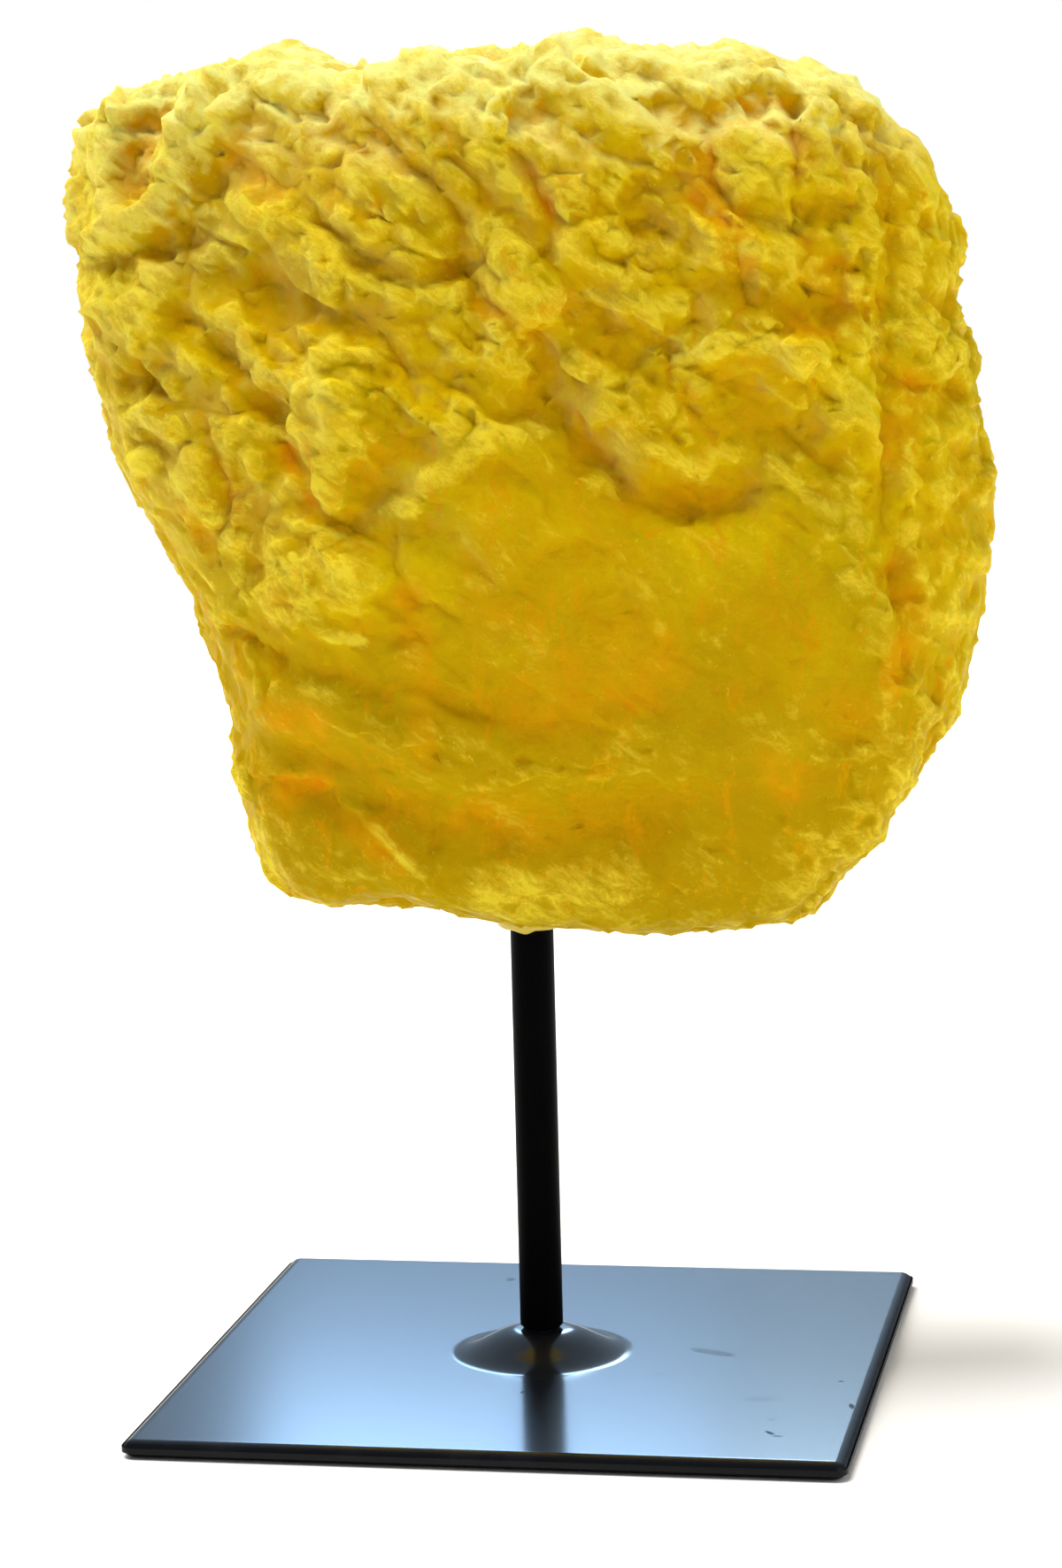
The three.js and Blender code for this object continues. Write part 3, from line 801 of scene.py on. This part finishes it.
def relief(spot, front):
    """How far the crust stands out of the plain block at each point, in mm. Front is 1 where the
    surface faces forwards."""
    u, v, w = spot.T
    # strokes are read cell by cell through a wavering grid, so that they break up into chips
    waver_u = crust_noise(spot, 16, 4, 11)
    waver_w = crust_noise(spot, 16, 4, 21)
    cells = 0.35 * cell_middles(spot, 4.2, 33, 12) + 0.3 * cell_middles(spot, 2.3, 37, 12) + 0.35 * spot
    read_u = cells[:, 0] + 1.8 * waver_u
    read_w = cells[:, 2] + 1.8 * waver_w
    rag = crust_noise(spot, 5, 3, 25)
    strokes = np.zeros(len(spot))
    for profile, half_width, rise, line in carving:
        strokes += stroke_height(profile, half_width, rise, line, read_u, read_w, rag)
    height = 0.78 * strokes * front * (1 + 0.5 * crust_noise(spot, 9, 2, 27))

    smooth = smooth_area(u + 5 * rag, w) * front
    upper = smooth_step(84, 104, w)
    crust = (1 - 0.6 * smooth) * (0.75 + 0.25 * front)

    # chips in rows that fall from upper left to lower right: their length, breadth and depth, and
    # how far they rise at the foot and in the upper part, all in mm
    lean = math.radians(-38)
    drift = 1.8 * crust_noise(spot, 11, 3, 31)
    along = u * math.cos(lean) + w * math.sin(lean) + drift
    across = -u * math.sin(lean) + w * math.cos(lean) - drift
    for length, breadth, depth, low_rise, high_rise, where, seed, crispness in (
            (17, 8, 13, 0.396, 0.66, crust, 41, 30),
            (9, 4.2, 6, 0.221, 0.34, crust, 43, 20),
            (3.6, 2.2, 2.8, 0.14, 0.24, 1 - 0.35 * smooth, 47, 16)):
        rows = np.stack([along / length, across / breadth, v / depth], axis=1)
        rise = low_rise + (high_rise - low_rise) * upper
        height += rise * where * chipped(rows, seed, crispness)

    height += 0.5 * crust_noise(spot, 26, 2, 51)
    height += 0.22 * crust * crust_noise(spot, 5, 4, 61, ridged=True)
    height += 0.1 * crust_noise(spot, 2.2, 2, 71)
    flutes = front * smooth_step(50, 55, u) * smooth_step(70, 64, u) * smooth_step(92, 108, w)
    height += 1.1 * flutes * lattice_noise(np.stack([u / 1.8, v / 6, w / 22], axis=1), 81)
    return height


def carve(block):
    mesh = block.data
    places, normals, edges, counts = read_mesh(mesh)
    spot = stone_axes(places)
    out = stone_axes(places + normals * MM) - spot
    u, v, w = spot.T
    # the drilled mouth stays clean
    mouth = np.where(w > 34, 1, smooth_step(9, 14, np.hypot(u, v)))
    height = relief(spot, smooth_step(0.12, 0.5, -out[:, 1])) * mouth
    moved = places + normals * (height * MM)[:, None]
    mesh.vertices.foreach_set("co", moved.astype(np.float32).ravel())
    mesh.update()
    thin_out(block)


def thin_out(block):
    """Bring the block down to its share of triangles, and keep the front face as fine as it is."""
    make_active(block)
    bpy.ops.object.mode_set(mode="EDIT")
    bpy.ops.mesh.select_all(action="SELECT")
    bpy.ops.mesh.quads_convert_to_tris()
    bpy.ops.object.mode_set(mode="OBJECT")
    facing = read_vectors(block.data.polygon_normals, "vector", len(block.data.polygons))
    plain = facing @ np.array([-math.sin(STONE_TURN), math.cos(STONE_TURN), 0]) > -0.35
    block.data.polygons.foreach_set("select", plain)
    bpy.ops.object.mode_set(mode="EDIT")
    bpy.ops.mesh.select_mode(type="FACE")
    bpy.ops.mesh.decimate(ratio=1 - (len(plain) - STONE_TRIANGLES) / plain.sum())
    bpy.ops.object.mode_set(mode="OBJECT")


def tint(block):
    """Where the sulfur is frosted and painted with highlights, amber and painted with shade, and painted
    pale where the light falls, kept as values on its vertices.
    """
    mesh = block.data
    places, normals, edges, counts = read_mesh(mesh)
    spot = stone_axes(places)
    out = stone_axes(places + normals * MM) - spot
    u, _, w = spot.T
    front = smooth_step(0.0, 0.4, -out[:, 1])
    eased = places
    for _ in range(12):
        eased = neighbour_mean(eased, edges, counts)
    stands_out = np.einsum("ij,ij->i", places - eased, normals) / MM
    waver_u = u + 1.6 * crust_noise(spot, 8, 3, 91)
    waver_w = w + 1.6 * crust_noise(spot, 8, 3, 95)

    rough = 1 - 0.6 * smooth_area(u, w) * front
    # frost strokes, and painted light that grows paler towards the upper part, where the surface faces up
    frost_and_highlight = front * tint_mask(frost_and_highlight_tint, waver_u, waver_w) + 0.14 * smooth_step(85, 140, w)
    # frost and painted highlight on the crests
    frost_and_highlight += 0.75 * smooth_step(0.15, 0.75, stands_out) * rough
    # amber strokes, and amber laid in the hollows as painted shade
    amber_and_hollow_shade = front * tint_mask(amber_tint, waver_u, waver_w) + 0.4 * smooth_step(-0.1, -0.6, stands_out)
    # painted shade in the grooves and towards the foot; the front is also darker towards the left
    painted_shade = front * (0.45 * smooth_step(-20, -55, u) + 1.3 * smooth_step(78, 30, w))
    painted_shade += 0.5 * smooth_step(0.05, -0.6, stands_out)
    # painted light: the top where it faces up, the crests of the fin at its left corner, and the rim where
    # it faces left are made paler
    top = smooth_step(0.05, 0.6, out[:, 2]) * smooth_step(130, 152, w + 3 * crust_noise(spot, 9, 3, 99))
    fin = front * smooth_step(-42, -60, u) * smooth_step(112, 130, w) * smooth_step(-0.1, 0.4, stands_out)
    rim = smooth_step(0.1, 0.7, -out[:, 0]) * smooth_step(50, 100, w)
    pale = np.maximum.reduce([top, 0.45 * fin, 0.2 * rim])
    for name, values, most in (
            ("frost_and_highlight", frost_and_highlight, 1.1), ("amber_and_hollow_shade", amber_and_hollow_shade, 1.7), ("painted_shade", painted_shade, 1.6), ("pale", pale, 1)):
        layer = mesh.attributes.new(name, "FLOAT", "POINT")
        layer.data.foreach_set("value", np.clip(values, 0, most).astype(np.float32))
    make_active(block)
    bpy.ops.object.shade_smooth()


def make_sulfur():
    material, pen, shader = new_material("native_sulfur")
    shader["Subsurface Weight"].default_value = 0.5
    shader["Subsurface Radius"].default_value = (1.0, 0.55, 0.05)
    shader["Subsurface Scale"].default_value = 1.2 * MM
    shader["Specular IOR Level"].default_value = 0.025
    frost_and_highlight_tinted, amber_and_hollow_shade_tinted, painted_shade_share, painted_top_light = (
        pen.add("Attribute", {}, attribute_name=name)["Fac"] for name in ("frost_and_highlight", "amber_and_hollow_shade", "painted_shade", "pale"))

    def stretched(turn, scale):
        return pen.add("Mapping", {"Vector": pen.place, "Rotation": (0, math.radians(turn), 0),
                                   "Scale": scale}, vector_type="TEXTURE")["Vector"]

    lemon = (0.80, 0.57, 0.001)
    golden = (0.72, 0.445, 0.0005)
    olive = (0.61, 0.43, 0.0008)
    painted_shade = (0.56, 0.352, 0.0005)
    amber_and_hollow_shade = (0.80, 0.39, 0.0008)
    orange = (0.86, 0.32, 0.0005)
    frost_and_highlight = (0.94, 0.72, 0.036)
    # the colour of the painted light on the top, the fin and the left rim
    pale = (1.0, 0.93, 0.27)

    # the body colour, with painted shade in the grooves and towards the foot, and darker towards the left
    colour = pen.blend(pen.ranged(pen.noise(46, 8, 0.7), 0.40, 0.60), lemon, golden)
    falling = pen.noise(60, 6, 0.65, 0.5, stretched(38, (2.4, 1, 1)))
    colour = pen.blend(pen.ranged(falling, 0.50, 0.66, 0, 0.8), colour, olive)
    colour = pen.blend(pen.maths("MULTIPLY", painted_shade_share, 0.62), colour, painted_shade)

    # amber and orange patches, amber laid in the hollows as painted shade, and short upright amber veins
    patches = pen.maths("MULTIPLY", pen.ranged(pen.noise(34, 9, 0.75), 0.55, 0.70), 0.6)
    patches = pen.maths("ADD", amber_and_hollow_shade_tinted, patches)
    broken = pen.ranged(pen.noise(240, 5, 0.7), 0.36, 0.60, 0.5, 1.15)
    patches = pen.maths("MULTIPLY", patches, broken)
    colour = pen.blend(pen.ranged(patches, 0, 1.0), colour, amber_and_hollow_shade)
    colour = pen.blend(pen.ranged(patches, 0.95, 1.7), colour, orange)
    veins = pen.noise(190, 8, 0.75, 0.5, stretched(0, (1, 1, 3)))
    colour = pen.blend(pen.ranged(veins, 0.55, 0.62, 0, 0.7), colour, amber_and_hollow_shade)

    # frost that lies in streaks, painted highlights on the crests, painted glints as flecks between the
    # streaks, and painted light on the top and the left rim
    streak = pen.noise(330, 7, 0.75, 0.5, stretched(38, (2.2, 1.1, 0.9)))
    feather = pen.maths("MULTIPLY", pen.ranged(streak, 0.54, 0.68), 0.32)
    # painted glints: small pale flecks stand for the sparkle of tiny crystal faces
    painted_glints = pen.maths("MULTIPLY", pen.ranged(pen.noise(700, 5, 0.7), 0.60, 0.66), 0.4)
    frost_and_highlight_share = pen.maths("MULTIPLY", frost_and_highlight_tinted, pen.ranged(streak, 0.40, 0.60, 0.3, 1.25))
    frost_and_highlight_share = pen.maths("ADD", frost_and_highlight_share, pen.maths("MAXIMUM", feather, painted_glints))
    colour = pen.blend(pen.ranged(frost_and_highlight_share, 0.2, 1.1), colour, frost_and_highlight)
    mottled = pen.maths("MULTIPLY", pen.ranged(streak, 0.3, 0.55, 0.7, 1.0),
                        pen.ranged(pen.noise(110, 7, 0.7), 0.40, 0.56, 0.45, 1.05))
    colour = pen.blend(pen.maths("MULTIPLY", painted_top_light, mottled), colour, pale)
    pen.put(shader["Base Color"], colour)
    pen.put(shader["Roughness"], pen.ranged(pen.noise(500, 3, 0.55), 0.35, 0.65, 0.3, 0.62))

    grain = pen.maths("ADD", pen.noise(750, 7, 0.75), pen.maths("MULTIPLY", streak, 0.6))
    pen.put(shader["Normal"], pen.bump(grain, 0.75, 1 * MM))
    return material


block = make_block()
carve(block)
tint(block)
finish_piece(block, "sulfur_mass", make_sulfur())


# ---------------------------------------------------------------------------------------------
# Epoxy bead. Clear two part epoxy, clouded with sulfur dust, that fills the drilled socket round
# the rod and was squeezed out in a small uneven bead at its mouth.
# ---------------------------------------------------------------------------------------------
bead_low, bead_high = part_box("epoxy_bead")


def make_bead():
    inner = rod_radius + TOUCH_GAP
    outer = inner + 0.8 * MM
    collar = outer + 1.2 * MM
    bottom = bead_low.z
    bead_top = bottom + 1.2 * MM
    rounding = [(outer + (collar - outer) * math.sin(t), bottom + 0.6 * MM * (1 - math.cos(t)))
                for t in np.linspace(0, math.pi / 2, 6)]
    profile = [(inner, bottom)] + rounding + [
        (collar, bead_top), (outer, bead_top), (outer, bead_high.z), (inner, bead_high.z), (inner, bottom)]
    bead = turned("glue_bead", profile, 64)
    for vertex in bead.data.vertices:
        reach = math.hypot(vertex.co.x, vertex.co.y)
        low = smooth_step(bead_top, bottom, vertex.co.z)
        if reach > outer * 0.98 and low > 0:
            turn = math.atan2(vertex.co.y, vertex.co.x)
            sag = 0.4 * MM * (math.sin(3 * turn + 0.6) + 0.6 * math.sin(7 * turn)) * low
            vertex.co.z -= max(sag, 0)
    smooth_by_angle(bead, 50)
    return bead


def make_epoxy():
    material, pen, shader = new_material("cured_epoxy")
    shader["Subsurface Weight"].default_value = 0.3
    shader["Subsurface Radius"].default_value = (1.0, 0.8, 0.3)
    shader["Subsurface Scale"].default_value = 1 * MM
    cloud = pen.noise(600, 5)
    pen.put(shader["Base Color"], pen.blend(cloud, (0.62, 0.48, 0.05), (0.80, 0.64, 0.10)))
    pen.put(shader["Roughness"], pen.ranged(cloud, 0, 1, 0.2, 0.55))
    pen.put(shader["Normal"], pen.bump(cloud, 0.4, 0.3 * MM))
    return material


finish_piece(make_bead(), "epoxy_bead", make_epoxy())


# ---------------------------------------------------------------------------------------------
# Studio. A plain pale floor in soft daylight: a broad sun high at the left, a window behind, a
# fill at the right and white light from the room. Two cool panels stand far behind, low down,
# and light nothing: the satin plate mirrors them.
# ---------------------------------------------------------------------------------------------
def make_floor():
    select_none()
    bpy.ops.mesh.primitive_circle_add(vertices=96, radius=1.5, fill_type="NGON", location=(0, 0, 0))
    floor = bpy.context.object
    floor.name = "studio_floor"
    material, _, shader = new_material("pale_floor")
    shader["Base Color"].default_value = (0.94, 0.94, 0.94, 1)
    shader["Roughness"].default_value = 0.9
    shader["Specular IOR Level"].default_value = 0.1
    floor.data.materials.append(material)


def make_light(name, place, target, size_x, size_y, watts, colour):
    light = bpy.data.lights.new(name, "AREA")
    light.shape = "RECTANGLE"
    light.size, light.size_y = size_x, size_y
    light.energy = watts
    light.color = colour
    lamp = bpy.data.objects.new(name, light)
    bpy.context.collection.objects.link(lamp)
    lamp.location = place
    lamp.rotation_euler = (Vector(target) - Vector(place)).to_track_quat("-Z", "Y").to_euler()
    lamp.visible_camera = False
    return lamp


def make_sun(name, towards_sun, strength, spread, colour):
    light = bpy.data.lights.new(name, "SUN")
    light.energy = strength
    light.angle = math.radians(spread)
    light.color = colour
    sun = bpy.data.objects.new(name, light)
    bpy.context.collection.objects.link(sun)
    sun.visible_glossy = False
    sun.rotation_euler = Vector(towards_sun).to_track_quat("Z", "Y").to_euler()
    return sun


make_floor()
stone_middle = (0, 0, 0.165)
make_sun("daylight", (-0.30, -0.04, 0.95), 3.7, 34, (1.0, 0.985, 0.95))
window = make_light("window_back", (-0.8, 0.75, 0.75), stone_middle, 0.8, 0.8, 9, (1.0, 0.99, 0.96))
window.visible_glossy = False
make_light("fill_right", (1.0, -0.35, 0.7), stone_middle, 0.9, 0.9, 4.5, (1.0, 0.97, 0.92))
PANEL_FAR = 6
for name, azimuth, elevation, width, power, colour in (
        ("cool_panel", -12.4, 23.2, 0.82, 32, (0.38, 0.62, 0.96)),
        ("grey_panel", -5.4, 25.2, 0.66, 38, (0.52, 0.75, 0.98))):
    azimuth, elevation = math.radians(azimuth), math.radians(elevation)
    place = Vector((math.sin(azimuth), math.cos(azimuth), math.tan(elevation))) * PANEL_FAR
    panel = make_light(name, place, (0, 0, 0), width, 1.27, power, colour)
    panel.rotation_euler.rotate_axis("Z", math.radians(-10))
    panel.visible_diffuse = False

world = bpy.data.worlds.new("room")
world.use_nodes = True
world_nodes = world.node_tree.nodes
world_links = world.node_tree.links
world_nodes["Background"].inputs["Strength"].default_value = 0.24
world_nodes["Background"].inputs["Color"].default_value = (1, 1, 1, 1)
seen_by = world_nodes.new("ShaderNodeLightPath")
room = world_nodes["Background"].outputs[0]
for name, ray, colour in (("dim_room", "Is Glossy Ray", (0.26, 0.35, 0.45, 1)),
                          ("backdrop", "Is Camera Ray", (1, 1, 1, 1))):
    seen = world_nodes.new("ShaderNodeBackground")
    seen.label = name
    seen.inputs["Color"].default_value = colour
    either = world_nodes.new("ShaderNodeMixShader")
    world_links.new(seen_by.outputs[ray], either.inputs["Fac"])
    world_links.new(room, either.inputs[1])
    world_links.new(seen.outputs[0], either.inputs[2])
    room = either.outputs[0]
world_links.new(room, world_nodes["World Output"].inputs["Surface"])
bpy.context.scene.world = world
bpy.context.scene.view_settings.view_transform = "Standard"

# the camera looks a little down from the front right, and leans slightly
CAMERA_AIM = Vector((0.5, 0.1, 109.6)) * MM
CAMERA_AZIMUTH = math.radians(10.63)
CAMERA_ELEVATION = math.radians(8.05)
CAMERA_DISTANCE = 0.738
CAMERA_LEAN = math.radians(-1.44)
CAMERA_LENS = 92.9

towards = Vector((math.sin(CAMERA_AZIMUTH) * math.cos(CAMERA_ELEVATION),
                  -math.cos(CAMERA_AZIMUTH) * math.cos(CAMERA_ELEVATION),
                  math.sin(CAMERA_ELEVATION)))
lens = bpy.data.cameras.new("camera")
lens.lens = CAMERA_LENS
lens.clip_start = 0.01
camera = bpy.data.objects.new("camera", lens)
bpy.context.collection.objects.link(camera)
camera.rotation_mode = "QUATERNION"
camera.location = CAMERA_AIM + towards * CAMERA_DISTANCE
camera.rotation_quaternion = (-towards).to_track_quat("-Z", "Y") @ Quaternion((0, 0, 1), CAMERA_LEAN)
bpy.context.scene.camera = camera
